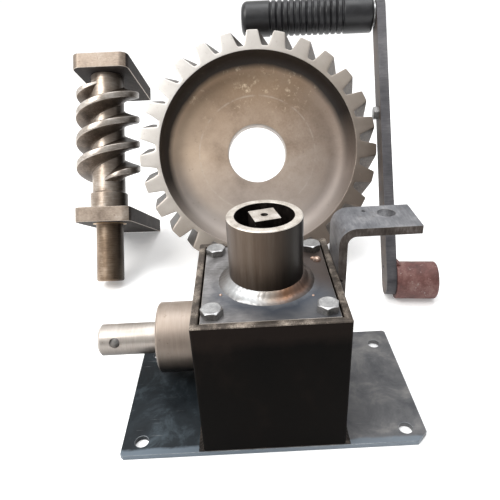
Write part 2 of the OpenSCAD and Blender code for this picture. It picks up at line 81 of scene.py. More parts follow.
def at(x, y, z):
    return Matrix.Translation((x * MM, y * MM, z * MM))


def up(z):
    """A move along Z for points that are still in millimetres."""
    return Matrix.Translation((0, 0, z))


PLAIN = Matrix.Identity(4)
INPUT = at(0, INPUT_Y, INPUT_Z) @ rot("Y", 90)
WORM_LIFT = (FREE_R - FREE_CHAMFER) * math.sin(math.radians(WORM_LEAN))
WORM = at(WORM_X, WORM_Y, WORM_LIFT) @ rot("Z", WORM_YAW) @ rot("X", -WORM_LEAN)
CRANK_LEAN = math.degrees(math.acos((GRIP_Z - HUB_R) / THROW))
CRANK = at(CRANK_X, CRANK_Y, HUB_R) @ rot("Z", CRANK_YAW) @ rot("X", -CRANK_LEAN)
WHEEL_Z = TIP_R * math.cos(math.radians(WHEEL_LEAN)) + FACE * math.sin(math.radians(WHEEL_LEAN))
WHEEL = at(WHEEL_X, WHEEL_Y, WHEEL_Z) @ rot("X", -90 - WHEEL_LEAN)


def crank_axis(h):
    return CRANK @ at(0, 0, h) @ rot("Y", 90)


# ---------- materials ----------

class Nodes:
    """A material under construction: noise, ramps and mixes feed one Principled shader."""

    def __init__(self, name, metallic, specular=0.5):
        self.mat = bpy.data.materials.new(name)
        self.mat.use_nodes = True
        self.tree = self.mat.node_tree
        self.tree.nodes.clear()
        out = self.tree.nodes.new("ShaderNodeOutputMaterial")
        self.bsdf = self.tree.nodes.new("ShaderNodeBsdfPrincipled")
        self.tree.links.new(self.bsdf.outputs[0], out.inputs[0])
        self.bsdf.inputs["Metallic"].default_value = metallic
        self.bsdf.inputs["Specular IOR Level"].default_value = specular
        self.coord = self.tree.nodes.new("ShaderNodeTexCoord").outputs["Object"]

    def put(self, socket, value):
        if isinstance(value, bpy.types.NodeSocket):
            self.tree.links.new(value, socket)
        else:
            socket.default_value = value

    def stretched(self, scale, turn=(0, 0, 0)):
        node = self.tree.nodes.new("ShaderNodeMapping")
        node.inputs["Scale"].default_value = scale
        node.inputs["Rotation"].default_value = [math.radians(a) for a in turn]
        self.put(node.inputs["Vector"], self.coord)
        return node.outputs[0]

    def noise(self, size, detail=5, rough=0.6, vector=None, distortion=0.0, offset=0.0):
        """Noise whose features are about size millimetres across."""
        node = self.tree.nodes.new("ShaderNodeTexNoise")
        node.noise_dimensions = "4D"
        node.inputs["W"].default_value = offset
        node.inputs["Scale"].default_value = 1 / (size * MM)
        node.inputs["Detail"].default_value = detail
        node.inputs["Roughness"].default_value = rough
        node.inputs["Distortion"].default_value = distortion
        self.put(node.inputs["Vector"], vector or self.coord)
        return node.outputs["Fac"]

    def ramp(self, value, *stops):
        """stops are (position, number or colour)."""
        node = self.tree.nodes.new("ShaderNodeValToRGB")
        bar = node.color_ramp.elements
        while len(bar) < len(stops):
            bar.new(0.5)
        for element, (place, shade) in zip(bar, stops):
            element.position = place
            element.color = (*shade, 1) if isinstance(shade, tuple) else (shade, shade, shade, 1)
        self.put(node.inputs[0], value)
        return node.outputs[0]

    def mix(self, factor, a, b, mode="MIX"):
        node = self.tree.nodes.new("ShaderNodeMix")
        node.data_type = "RGBA"
        node.blend_type = mode
        self.put(node.inputs[0], factor)
        for socket, value in ((node.inputs[6], a), (node.inputs[7], b)):
            self.put(socket, (*value, 1) if isinstance(value, tuple) else value)
        return node.outputs[2]

    def math(self, kind, a, b=0.0):
        node = self.tree.nodes.new("ShaderNodeMath")
        node.operation = kind
        self.put(node.inputs[0], a)
        self.put(node.inputs[1], b)
        return node.outputs[0]

    def add(self, a, b):
        return self.math("ADD", a, b)

    def times(self, a, b):
        return self.math("MULTIPLY", a, b)

    def shares(self, a, b, share):
        """share of a and the rest of b."""
        return self.add(self.times(a, share), self.times(b, 1 - share))

    def ragged(self, value, patches, amount):
        """value pushed up and down by patches, so that edges in it are uneven."""
        return self.add(value, self.times(self.math("SUBTRACT", patches, 0.5), amount))

    def axes(self):
        node = self.tree.nodes.new("ShaderNodeSeparateXYZ")
        self.put(node.inputs[0], self.coord)
        return node.outputs

    def span(self, value, start, end):
        """0 to 1 as value goes from start to end millimetres."""
        node = self.tree.nodes.new("ShaderNodeMapRange")
        self.put(node.inputs[0], value)
        node.inputs[1].default_value = start * MM
        node.inputs[2].default_value = end * MM
        return node.outputs[0]

    def radius(self):
        """Distance from the local Z axis."""
        x, y, _ = self.axes()
        return self.math("SQRT", self.add(self.times(x, x), self.times(y, y)))

    def finish(self, colour, rough, bump=None, depth=0.1):
        self.put(self.bsdf.inputs["Base Color"], colour)
        self.put(self.bsdf.inputs["Roughness"], rough)
        if bump is not None:
            node = self.tree.nodes.new("ShaderNodeBump")
            node.inputs["Strength"].default_value = 0.5
            node.inputs["Distance"].default_value = depth * MM
            self.put(node.inputs["Height"], bump)
            self.tree.links.new(node.outputs[0], self.bsdf.inputs["Normal"])
        return self.mat


def worn_steel(name, dark, middle, light, metallic=0.6, rough=(0.35, 0.6), patch=22,
               grain=(1, 1, 1), grain_size=1.2, depth=0.12, specks=None, seed=0.0, grime=None,
               shine=0.5):
    """Steel with patchy colour, fine directional grain and pale or dark specks.
    specks is (size, low, high, colour). The shade argument, (axis, lit at, shaded at, how much stays),
    is painted shade that darkens the colour along that axis."""
    m = Nodes(name, metallic, shine)
    patches = m.noise(patch, 6, 0.62, offset=seed)
    fine = m.noise(grain_size, 4, 0.65, m.stretched(grain), offset=seed + 3)
    both = m.shares(patches, fine, 0.65)
    colour = m.ramp(both, (0.36, dark), (0.5, middle), (0.64, light))
    if specks:
        size, low, high, shade = specks
        spots = m.ramp(m.noise(size, 3, 0.7, offset=seed + 7), (low, 0.0), (high, 1.0))
        colour = m.mix(spots, colour, shade)
    # painted shade: the colour is multiplied darker along one axis, towards the side that faces away
    # from the light
    if grime:
        axis, lit_at, shaded_at, darkest = grime
        edge = m.ragged(m.span(m.axes()[axis], lit_at, shaded_at), patches, 0.5)
        colour = m.mix(1.0, colour, m.ramp(edge, (0.05, 1.0), (0.95, darkest)), "MULTIPLY")
    gloss = m.ramp(both, (0.3, rough[0]), (0.7, rough[1]))
    return m.finish(colour, gloss, fine, depth)


AROUND_Z = (0.08, 0.08, 1)              # grain that follows the lathe


def gearbox_steels():
    return {
        "scale_edge": worn_steel(
            "mill_scale_edge", (0.10, 0.11, 0.12), (0.22, 0.24, 0.26), (0.45, 0.47, 0.48),
            patch=14, seed=4),
        "housing_rim": worn_steel(
            "housing_rim", (0.02, 0.016, 0.013), (0.085, 0.068, 0.055), (0.42, 0.36, 0.30), 0.5,
            patch=11, grain_size=0.8, seed=11),
        # painted shade: near black with little shine, for the collar's bore and the output shaft's sides
        # down inside it
        "oily_dark": worn_steel(
            "oily_dark", (0.006, 0.005, 0.0045), (0.014, 0.011, 0.010), (0.04, 0.032, 0.027), 0.3,
            (0.35, 0.5), 9, seed=40, shine=0.1),
        "weld_dark": worn_steel(
            "weld_dark", (0.010, 0.008, 0.007), (0.024, 0.020, 0.017), (0.075, 0.062, 0.053), 0.4,
            (0.4, 0.6), 8, grain_size=1.0, depth=0.15, seed=41, shine=0.1),
        "lid_edge": worn_steel(
            "lid_edge", (0.2, 0.17, 0.15), (0.4, 0.36, 0.32), (0.6, 0.56, 0.52), 0.7, seed=2),
        "cut_ring": worn_steel(
            "cut_ring", (0.34, 0.29, 0.24), (0.60, 0.55, 0.49), (0.80, 0.76, 0.70), 0.55,
            (0.3, 0.45), 10, grain_size=0.7, seed=8),
        "bracket": worn_steel(
            "bracket_bar", (0.085, 0.088, 0.098), (0.18, 0.182, 0.195), (0.32, 0.318, 0.322), 0.55,
            (0.38, 0.55), 22, (1, 0.2, 1), 1.3, 0.08,
            specks=(8, 0.62, 0.74, (0.12, 0.085, 0.065)), seed=24),
        # painted shade: a darker copy of the bracket steel for the faces that turn away from the light
        "bracket_shaded_copy": worn_steel(
            "bracket_shaded_copy", (0.022, 0.017, 0.014), (0.055, 0.045, 0.040), (0.13, 0.115, 0.105), 0.4,
            (0.4, 0.55), 18, (1, 1, 0.3), 1.3, 0.08, seed=43, shine=0.1),
        "bracket_edge": worn_steel(
            "bracket_edge", (0.06, 0.056, 0.054), (0.15, 0.145, 0.14), (0.34, 0.33, 0.32), 0.55,
            patch=10, seed=25),
        "blob": worn_steel(
            "tack_weld", (0.32, 0.17, 0.11), (0.55, 0.36, 0.27), (0.72, 0.60, 0.52), 0.7,
            (0.3, 0.45), 5, seed=23),
    }


def turned_steels():
    return {
        # bright_shaft and boss carry painted shade that darkens their undersides
        "bright_shaft": worn_steel(
            "bright_shaft", (0.37, 0.325, 0.288), (0.47, 0.425, 0.385), (0.56, 0.52, 0.48), 0.7,
            (0.28, 0.42), 30, AROUND_Z, 0.9, 0.025,
            specks=(9, 0.62, 0.72, (0.22, 0.17, 0.13)), seed=12, grime=(0, -9, 9, 0.07)),
        "boss": worn_steel(
            "boss_pipe", (0.29, 0.232, 0.19), (0.35, 0.286, 0.238), (0.41, 0.345, 0.295), 0.55,
            (0.36, 0.5), 24, AROUND_Z, 1.1, 0.03,
            specks=(6, 0.64, 0.74, (0.16, 0.10, 0.07)), seed=14, grime=(0, -27, 15, 0.04)),
        "inner_steel": worn_steel(
            "inner_steel", (0.16, 0.155, 0.15), (0.30, 0.29, 0.28), (0.46, 0.45, 0.44), 0.85,
            (0.3, 0.45), 18, AROUND_Z, 0.8, 0.05, seed=15),
        "square_end": worn_steel(
            "square_end", (0.30, 0.26, 0.22), (0.52, 0.47, 0.42), (0.74, 0.70, 0.66), 0.6,
            (0.3, 0.5), 7, grain_size=0.6, depth=0.05, seed=17),
        "bronze": worn_steel(
            "bearing_bronze", (0.30, 0.17, 0.07), (0.50, 0.32, 0.14), (0.66, 0.47, 0.24), 0.9,
            (0.25, 0.4), 15, AROUND_Z, 0.8, 0.04, seed=18),
        "zinc": worn_steel(
            "zinc_plate", (0.26, 0.26, 0.265), (0.42, 0.42, 0.42), (0.62, 0.62, 0.61), 0.8,
            (0.28, 0.42), 8, grain_size=0.9, depth=0.04,
            specks=(3, 0.64, 0.74, (0.20, 0.17, 0.15)), seed=19),
        # painted shade: a darker copy of the zinc for the bolt heads' hexagon sides
        "zinc_dark": worn_steel(
            "zinc_side", (0.10, 0.10, 0.10), (0.20, 0.195, 0.19), (0.36, 0.35, 0.34), 0.8,
            (0.32, 0.48), 8, seed=20),
        "black_oxide": worn_steel(
            "black_oxide", (0.012, 0.012, 0.013), (0.03, 0.03, 0.032), (0.07, 0.07, 0.07), 0.7,
            (0.35, 0.5), 10, seed=21),
    }


def loose_steels():
    return {
        "arm_edge": worn_steel(
            "arm_edge", (0.034, 0.033, 0.037), (0.066, 0.063, 0.068), (0.125, 0.121, 0.125), 0.4,
            (0.38, 0.55), 26, (1, 1, 0.1), 1.2, 0.07, seed=26),
        "arm_face": worn_steel(
            "arm_face", (0.028, 0.021, 0.018), (0.065, 0.050, 0.042), (0.14, 0.11, 0.092), 0.3,
            (0.5, 0.7), 20, grain_size=2.2,
            specks=(12, 0.56, 0.70, (0.10, 0.052, 0.032)), seed=27),
        "hub": worn_steel(
            "hub_oxide", (0.065, 0.024, 0.020), (0.125, 0.048, 0.041), (0.20, 0.11, 0.095), 0.1,
            (0.5, 0.68), 12, grain_size=1.8,
            specks=(5, 0.62, 0.72, (0.33, 0.27, 0.25)), seed=28),
        # the four worm materials carry painted shade that darkens their right side
        "worm_flank": worn_steel(
            "worm_flank", (0.040, 0.030, 0.023), (0.105, 0.079, 0.060), (0.24, 0.19, 0.15), 0.6,
            (0.34, 0.5), 16, grain_size=1.4, depth=0.09, seed=29, grime=(0, 0, 34, 0.35)),
        "worm_crest": worn_steel(
            "worm_crest", (0.22, 0.182, 0.15), (0.43, 0.38, 0.335), (0.70, 0.655, 0.61), 0.7,
            (0.26, 0.4), 12, AROUND_Z, 0.8, 0.05, seed=30, grime=(0, 0, 36, 0.4)),
        "worm_neck": worn_steel(
            "worm_neck", (0.21, 0.158, 0.122), (0.37, 0.305, 0.25), (0.60, 0.54, 0.48), 0.7,
            (0.26, 0.42), 14, AROUND_Z, 0.9, 0.05, seed=31, grime=(0, 0, 19, 0.14)),
        "worm_shaft": worn_steel(
            "worm_shaft", (0.12, 0.080, 0.053), (0.235, 0.166, 0.112), (0.42, 0.33, 0.25), 0.7,
            (0.28, 0.45), 18, AROUND_Z, 0.9, 0.06, seed=32, grime=(0, -2, 13, 0.14)),
        "plate": worn_steel(
            "bearing_plate", (0.14, 0.105, 0.080), (0.26, 0.207, 0.163), (0.38, 0.328, 0.28), 0.45,
            (0.34, 0.52), 18, (0.4, 1, 1), 1.5, 0.08,
            specks=(7, 0.60, 0.72, (0.18, 0.125, 0.09)), seed=33),
        # painted shade: a darker copy of the plate steel for the plates' undersides and right sides
        "plate_shaded_copy": worn_steel(
            "plate_shaded_copy", (0.012, 0.010, 0.009), (0.028, 0.023, 0.021), (0.06, 0.052, 0.048), 0.1,
            (0.5, 0.65), 16, seed=42, shine=0.06),
        "plate_edge": worn_steel(
            "plate_edge", (0.22, 0.182, 0.148), (0.35, 0.30, 0.255), (0.52, 0.475, 0.43), 0.55,
            (0.28, 0.42), 10, seed=34),
        "tooth_side": worn_steel(
            "tooth_side", (0.045, 0.036, 0.03), (0.11, 0.09, 0.076), (0.24, 0.205, 0.175), 0.45,
            (0.35, 0.55), 16, (1, 1, 0.2), 1.5, 0.1, seed=36),
        "bore": worn_steel(
            "wheel_bore", (0.16, 0.13, 0.11), (0.32, 0.27, 0.235), (0.50, 0.45, 0.40), 0.7,
            (0.3, 0.45), 18, AROUND_Z, 0.9, 0.06, seed=38),
    }


def make_steels():
    return {**gearbox_steels(), **turned_steels(), **loose_steels()}


def mill_scale():
    """Blue-grey mill scale, darker at the left, brushed and greyer at the right."""
    m = Nodes("mill_scale", 0.35, 0.4)
    x, y, _ = m.axes()
    side = m.add(m.span(x, -40, 100), m.times(m.noise(60, 4), 0.3))
    blotch = m.noise(26, 7, 0.68, distortion=0.6)
    left = m.ramp(blotch, (0.38, (0.006, 0.009, 0.012)), (0.52, (0.014, 0.020, 0.025)),
                  (0.68, (0.06, 0.078, 0.092)))
    right = m.ramp(blotch, (0.36, (0.075, 0.078, 0.085)), (0.52, (0.135, 0.135, 0.14)),
                   (0.66, (0.23, 0.225, 0.22)))
    colour = m.mix(m.ramp(side, (0.35, 0.0), (0.75, 1.0)), left, right)
    scratch = m.noise(1.4, 3, 0.6, m.stretched((0.06, 1, 1), (0, 0, 14)), offset=2)
    colour = m.mix(m.ramp(scratch, (0.66, 0.0), (0.74, 0.45)), colour, (0.3, 0.31, 0.32))
    front = m.add(m.span(y, -42, -55), m.times(m.noise(18, 4, offset=5), 0.6))
    colour = m.mix(m.ramp(front, (0.85, 0.0), (1.0, 0.7)), colour, (0.17, 0.21, 0.25))
    return m.finish(colour, m.ramp(blotch, (0.3, 0.42), (0.7, 0.6)), m.noise(2.0, 6))


def housing_black():
    """Black rolled steel with a faint red-brown cast."""
    m = Nodes("housing_black", 0.0, 0.03)
    haze = m.noise(45, 6, 0.65, m.stretched((1, 1, 0.6)))
    colour = m.ramp(haze, (0.35, (0.0018, 0.0015, 0.0013)), (0.55, (0.0035, 0.0028, 0.0024)),
                    (0.72, (0.009, 0.0065, 0.0053)))
    top = m.add(m.span(m.axes()[2], 70, 112), m.times(haze, 0.5))
    colour = m.mix(m.ramp(top, (0.8, 0.0), (1.0, 0.5)), colour, (0.016, 0.011, 0.009))
    spots = m.ramp(m.noise(3.5, 3, 0.7, offset=9), (0.68, 0.0), (0.76, 0.35))
    colour = m.mix(spots, colour, (0.022, 0.018, 0.015))
    return m.finish(colour, m.ramp(haze, (0.3, 0.5), (0.7, 0.7)), m.noise(2.4, 6), 0.09)


def lid_steel():
    """Grey-brown steel with a heat tint round the collar's weld and rust at the back right."""
    m = Nodes("lid_steel", 0.6)
    x, y, _ = m.axes()
    patches = m.noise(20, 6, 0.66, distortion=0.5)
    grain = m.noise(1.3, 4, 0.6, m.stretched((0.25, 1, 1), (0, 0, 35)), offset=3)
    base = m.ramp(m.shares(patches, grain, 0.7), (0.36, (0.10, 0.095, 0.09)),
                  (0.5, (0.23, 0.222, 0.222)), (0.64, (0.40, 0.39, 0.39)))
    middle = m.ramp(m.ragged(m.span(x, -34, 14), patches, 0.9), (0.1, 0.0), (0.9, 0.8))
    base = m.mix(middle, base, (0.044, 0.048, 0.058))
    wobble = m.ragged(m.radius(), patches, 0.022)
    tint = m.ramp(m.span(wobble, 32, 50), (0.0, (0.24, 0.26, 0.29)), (0.3, (0.085, 0.10, 0.128)),
                  (0.65, (0.13, 0.14, 0.16)), (1.0, (0.22, 0.22, 0.225)))
    near = m.times(m.ramp(m.span(wobble, 38, 56), (0.0, 0.8), (1.0, 0.0)),
                   m.ramp(m.span(y, 5, -30), (0.0, 0.0), (1.0, 1.0)))
    colour = m.mix(near, base, tint)
    corner = m.add(m.times(m.span(x, 8, 40), m.span(y, -40, 25)),
                   m.times(m.noise(12, 5, 0.7, offset=6), 0.5))
    colour = m.mix(m.ramp(corner, (0.45, 0.0), (0.85, 0.65)), colour, (0.105, 0.072, 0.054))
    return m.finish(colour, m.ramp(patches, (0.3, 0.3), (0.7, 0.5)), grain, 0.06)


def collar_pipe():
    """Brown steel pipe with streaks along its axis, with painted shade that darkens its right side."""
    m = Nodes("collar_pipe", 0.75)
    streaks = m.noise(5, 5, 0.7, m.stretched((1, 1, 0.07)), offset=1)
    band = m.noise(16, 2, 0.5, m.stretched((1, 1, 0.1)), offset=6)
    colour = m.ramp(m.shares(streaks, band, 0.55), (0.36, (0.050, 0.033, 0.023)),
                    (0.5, (0.080, 0.056, 0.040)), (0.64, (0.118, 0.090, 0.069)))
    # painted shade: the colour is multiplied darker towards the right side
    side = m.ramp(m.ragged(m.span(m.axes()[0], -10, 18), band, 0.7), (0.1, 1.0), (0.9, 0.14))
    colour = m.mix(1.0, colour, side, "MULTIPLY")
    return m.finish(colour, m.ramp(streaks, (0.3, 0.3), (0.7, 0.5)), streaks, 0.05)


def collar_weld():
    """Weld metal: silver, straw and brown by place."""
    m = Nodes("collar_weld", 0.75)
    x, y, _ = m.axes()
    across = m.add(m.span(x, -10, 26), m.times(m.noise(10, 4, 0.7), 0.4))
    colour = m.ramp(across, (0.2, (0.50, 0.51, 0.515)), (0.5, (0.36, 0.31, 0.265)),
                    (0.78, (0.21, 0.11, 0.062)), (1.0, (0.16, 0.095, 0.068)))
    outer = m.ragged(m.span(m.radius(), 29, 33.5), m.noise(7, 4, offset=2), 0.8)
    colour = m.mix(m.ramp(outer, (0.2, 0.0), (0.9, 0.75)), colour, (0.16, 0.155, 0.155))
    away = m.ragged(m.span(y, -24, 6), m.noise(12, 4, offset=7), 0.6)
    colour = m.mix(m.ramp(away, (0.1, 0.0), (0.8, 0.85)), colour, (0.13, 0.115, 0.105))
    dirt = m.ramp(m.noise(3, 5, 0.7, offset=4), (0.58, 0.0), (0.78, 0.6))
    colour = m.mix(dirt, colour, (0.12, 0.085, 0.065))
    return m.finish(colour, 0.36, m.noise(1.6, 4), 0.06)


def grip_plastic():
    m = Nodes("grip_plastic", 0.0)
    worn = m.noise(14, 5, 0.65)
    colour = m.ramp(worn, (0.35, (0.006, 0.006, 0.007)), (0.6, (0.013, 0.013, 0.015)),
                    (0.75, (0.035, 0.035, 0.04)))
    return m.finish(colour, m.ramp(worn, (0.3, 0.3), (0.7, 0.48)), m.noise(0.9, 4), 0.06)


def machined_face():
    """The wheel's turned rim face, with painted light that brightens it towards the left and the top."""
    m = Nodes("machined_face", 0.55)
    x, y, _ = m.axes()
    patch = m.noise(30, 5, 0.6, offset=2)
    # painted light: the colour brightens towards the upper left, where the light comes from
    toward = m.add(m.add(m.span(x, 130, -130), m.span(y, 130, -130)), m.times(patch, 0.5))
    colour = m.ramp(m.times(toward, 0.5), (0.35, (0.15, 0.12, 0.098)),
                    (0.62, (0.36, 0.315, 0.272)), (0.95, (0.66, 0.63, 0.595)))
    stain = m.ramp(m.noise(4, 4, 0.7, offset=8), (0.58, 0.0), (0.75, 0.5))
    colour = m.mix(stain, colour, (0.26, 0.20, 0.155))
    return m.finish(colour, m.ramp(patch, (0.3, 0.28), (0.7, 0.42)),
                    m.noise(1.1, 3, 0.6, offset=5), 0.05)


def cast_web():
    """The wheel's dish: tan, golden above, grey below, with pale chips and a scribed circle. Painted
    light brightens its left side; painted shade darkens its right side, the lower right fillet and a
    crescent on the rim's upper inner wall.
    """
    m = Nodes("cast_web", 0.3, 0.35)
    x, y, _ = m.axes()
    patch = m.noise(38, 6, 0.6, offset=3)
    fine = m.noise(2.2, 6, 0.7, offset=6)
    tone = m.shares(patch, fine, 0.75)
    web = m.ramp(tone, (0.36, (0.20, 0.145, 0.105)), (0.5, (0.32, 0.245, 0.188)),
                 (0.64, (0.45, 0.370, 0.300)))
    # painted light: the dish brightens towards the left
    left = m.ramp(m.ragged(m.span(x, -5, -100), patch, 0.8), (0.1, 0.0), (0.9, 0.75))
    web = m.mix(left, web, (0.58, 0.44, 0.32))
    gold = m.ramp(m.ragged(m.span(y, 10, -90), patch, 0.8), (0.2, 0.0), (0.9, 0.7))
    web = m.mix(gold, web, (0.25, 0.158, 0.086))
    # painted shade darkens the fillet at the lower right
    shade = m.times(m.span(m.radius(), 78, 92), m.span(y, -20, 60))
    web = m.mix(m.ramp(shade, (0.0, 0.0), (0.8, 0.8)), web, (0.10, 0.086, 0.078))
    lower = m.ramp(m.add(m.span(y, -10, 90), m.times(patch, 0.4)), (0.3, 0.0), (1.0, 0.7))
    web = m.mix(lower, web, (0.42, 0.375, 0.345))

    high = m.add(m.span(y, -20, -90), m.times(m.noise(26, 4, offset=11), 0.7))
    chips = m.ramp(m.noise(6.5, 7, 0.78, offset=9), (0.545, 0.0), (0.64, 1.0))
    cluster = m.ramp(m.noise(24, 3, 0.5, offset=17), (0.42, 0.0), (0.54, 1.0))
    where = m.times(m.times(m.ramp(high, (0.55, 0.0), (1.0, 1.0)), cluster), chips)
    web = m.mix(where, web, (0.68, 0.55, 0.40))
    circle_r = 66
    track = m.math("ABSOLUTE", m.math("SUBTRACT", m.radius(), circle_r * MM))
    circle = m.times(m.ramp(m.span(track, 0, 1.3), (0.0, 1.0), (1.0, 0.0)),
                     m.ramp(m.noise(7, 4, offset=15), (0.4, 0.0), (0.6, 0.5)))
    web = m.mix(circle, web, (0.50, 0.44, 0.38))
    stain = m.ramp(m.noise(9, 5, 0.75, offset=13), (0.62, 0.0), (0.74, 0.55))
    web = m.mix(stain, web, (0.12, 0.085, 0.062))

    # painted shade: the dish darkens towards the right
    right = m.ramp(m.ragged(m.span(x, 10, 100), patch, 0.8), (0.2, 0.0), (0.9, 0.6))
    web = m.mix(right, web, (0.165, 0.132, 0.115))
    # painted shade: a near-black crescent on the rim's upper inner wall
    wall = m.ramp(m.ragged(m.span(m.radius(), 93, 104), patch, 0.5), (0.2, 0.0), (0.7, 1.0))
    above = m.ramp(m.add(m.span(y, 70, -50), m.span(x, 60, -240)), (0.35, 0.0), (0.9, 0.96))
    web = m.mix(m.times(wall, above), web, (0.012, 0.010, 0.0095))
    return m.finish(web, m.ramp(tone, (0.3, 0.42), (0.7, 0.56)), fine, 0.16)


def make_special():
    return {"scale": mill_scale(), "housing": housing_black(), "lid": lid_steel(),
            "collar": collar_pipe(), "collar_weld": collar_weld(), "grip": grip_plastic(),
            "machined": machined_face(), "web": cast_web()}


MATERIALS = {**make_steels(), **make_special()}
PLACED = {}


def placed(key, frame_matrix):
    """The material with its coordinates in the frame of a tilted piece."""
    if frame_matrix == PLAIN:
        return MATERIALS[key]
    numbers = (*frame_matrix.to_translation(), *frame_matrix.to_euler())
    name = key + "".join("_%d" % round(v * 1000) for v in numbers)
    if name not in PLACED:
        mat = MATERIALS[key].copy()
        tree = mat.node_tree
        coord = next(n for n in tree.nodes if n.bl_idname == "ShaderNodeTexCoord").outputs["Object"]
        users = [link.to_socket for link in coord.links]
        node = tree.nodes.new("ShaderNodeMapping")
        node.vector_type = "TEXTURE"
        node.inputs["Location"].default_value = frame_matrix.to_translation()
        node.inputs["Rotation"].default_value = frame_matrix.to_euler()
        tree.links.new(coord, node.inputs["Vector"])
        for socket in users:
            tree.links.new(node.outputs[0], socket)
        PLACED[name] = mat
    return PLACED[name]


# ---------- mesh helpers (local millimetres in, row frame out) ----------

def dress(obj, body, nodes, frame_matrix, sharp=38):
    """Smooth shading with sharp creases, the frame's place and the body; the CAD nodes that the piece
    stands for are hidden.
    """
    mesh = obj.data
    mesh.polygons.foreach_set("use_smooth", [True] * len(mesh.polygons))
    mesh.set_sharp_from_angle(angle=math.radians(sharp))
    normals = obj.modifiers.new("even_normals", "WEIGHTED_NORMAL")
    normals.keep_sharp = True
    mesh.transform(frame_matrix)
    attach(obj, body)
    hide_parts(*nodes)
    return obj


def build(name, verts, faces, marks, mats, body, nodes, slot_name, frame_matrix=PLAIN, sharp=38):
    mesh = bpy.data.meshes.new(name)
    mesh.from_pydata([[c * MM for c in v] for v in verts], [], faces)
    mesh.polygons.foreach_set("material_index", marks)
    mesh.update()
    shape = bmesh.new()
    shape.from_mesh(mesh)
    bmesh.ops.remove_doubles(shape, verts=shape.verts, dist=1e-7)
    bmesh.ops.recalc_face_normals(shape, faces=shape.faces)
    shape.to_mesh(mesh)
    shape.free()
    for key in mats:
        mesh.materials.append(placed(key, frame_matrix))
    obj = bpy.data.objects.new(name, mesh)
    bpy.context.scene.collection.objects.link(obj)
    return dress(obj, body, nodes, frame_matrix, sharp)


def refine(node, body, mats, bevel=0.4, frame_matrix=PLAIN, mark=None, angle=28):
    """The CAD node's own shape with softly broken edges. Broken edges take the last material.
    mark(normal, centre) picks a face's material, in the piece's own frame and millimetres."""
    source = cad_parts[node].data
    shape = bmesh.new()
    shape.from_mesh(source)
    shape.transform(frame_matrix.inverted())
    bmesh.ops.remove_doubles(shape, verts=shape.verts, dist=2e-6)
    bmesh.ops.dissolve_limit(shape, angle_limit=math.radians(0.4), verts=shape.verts,
                             edges=shape.edges)
    shape.normal_update()
    for face in shape.faces:
        face.material_index = mark(face.normal, face.calc_center_median() / MM) if mark else 0
    if bevel:
        edges = [e for e in shape.edges
                 if len(e.link_faces) == 2 and e.calc_face_angle(0) > math.radians(angle)]
        bmesh.ops.bevel(shape, geom=edges, offset=bevel * MM, segments=2, profile=0.5,
                        affect="EDGES", clamp_overlap=True, material=len(mats) - 1)
    bmesh.ops.triangulate(shape, faces=[f for f in shape.faces if len(f.verts) > 4])
    mesh = bpy.data.meshes.new(node + "_worn")
    shape.to_mesh(mesh)
    shape.free()
    for key in mats:
        mesh.materials.append(placed(key, frame_matrix))
    obj = bpy.data.objects.new(node + "_worn", mesh)
    bpy.context.scene.collection.objects.link(obj)
    return dress(obj, body, [node], frame_matrix)


def soften(profile, radius, steps=3):
    """Rounds the corners of a closed (r, z) profile."""
    out = []
    count = len(profile)
    for i, point in enumerate(profile):
        p, a, b = Vector(point), Vector(profile[i - 1]), Vector(profile[(i + 1) % count])
        if point[0] < 1e-6:
            out.append(tuple(p))
            continue
        reach = min(radius, (a - p).length * 0.45, (b - p).length * 0.45)
        start, end = p + (a - p).normalized() * reach, p + (b - p).normalized() * reach
        for k in range(steps + 1):
            t = k / steps
            out.append(tuple(start * (1 - t) ** 2 + p * 2 * t * (1 - t) + end * t * t))
    return out


def lathe(profile, segments=120, mark=None):
    """A closed (r, z) profile turned round Z."""
    verts, faces, marks = [], [], []
    count = len(profile)
    for i in range(segments):
        a = 2 * math.pi * i / segments
        verts += [(r * math.cos(a), r * math.sin(a), z) for r, z in profile]
    for i in range(segments):
        j = (i + 1) % segments
        for k in range(count):
            n = (k + 1) % count
            if profile[k][0] < 1e-6 and profile[n][0] < 1e-6:
                continue
            faces.append((i * count + k, j * count + k, j * count + n, i * count + n))
            middle = ((profile[k][0] + profile[n][0]) / 2, (profile[k][1] + profile[n][1]) / 2)
            marks.append(mark(*middle) if mark else 0)
    return verts, faces, marks


def join(*parts):
    verts, faces, marks = [], [], []
    for v, f, m in parts:
        base = len(verts)
        verts += v
        faces += [tuple(i + base for i in face) for face in f]
        marks += m
    return verts, faces, marks


def moved(part, place):
    v, f, m = part
    return [tuple(place @ Vector(p)) for p in v], f, m


def bead(path, closed, leg_out, leg_up, pitch, seed, rough=0.10, ripple=0.10, hollow=0.16):
    """A rippled weld bead. path gives (corner, outward, upward, length so far), in millimetres."""
    verts, faces, marks = [], [], []
    rows = 9
    for corner, outward, upward, run in path:
        for k in range(rows):
            phi = math.pi / 2 * k / (rows - 1)
            phase = run / pitch + 0.35 * math.sin(2 * phi)
            lump = abs(math.sin(math.pi * phase))
            wobble = noise.noise(Vector((run * 0.16, k * 0.35, seed)))
            size = 0.98 - ripple + ripple * lump ** 0.7 + rough * wobble
            bulge = 1 - hollow * abs(math.sin(2 * phi)) ** 1.5
            u = leg_out * math.cos(phi) ** 1.15 * size * bulge
            w = leg_up * math.sin(phi) ** 1.15 * size * bulge
            verts.append(corner + outward * u + upward * w)
        verts.append(corner - outward * 0.4 - upward * 0.4)
    ring = rows + 1
    count = len(path)
    for i in range(count if closed else count - 1):
        j = (i + 1) % count
        for k in range(ring):
            n = (k + 1) % ring
            faces.append((i * ring + k, j * ring + k, j * ring + n, i * ring + n))
            marks.append(0)
    if not closed:
        faces += [tuple(range(ring)), tuple(range((count - 1) * ring, count * ring))]
        marks += [0, 0]
    return [tuple(v) for v in verts], faces, marks


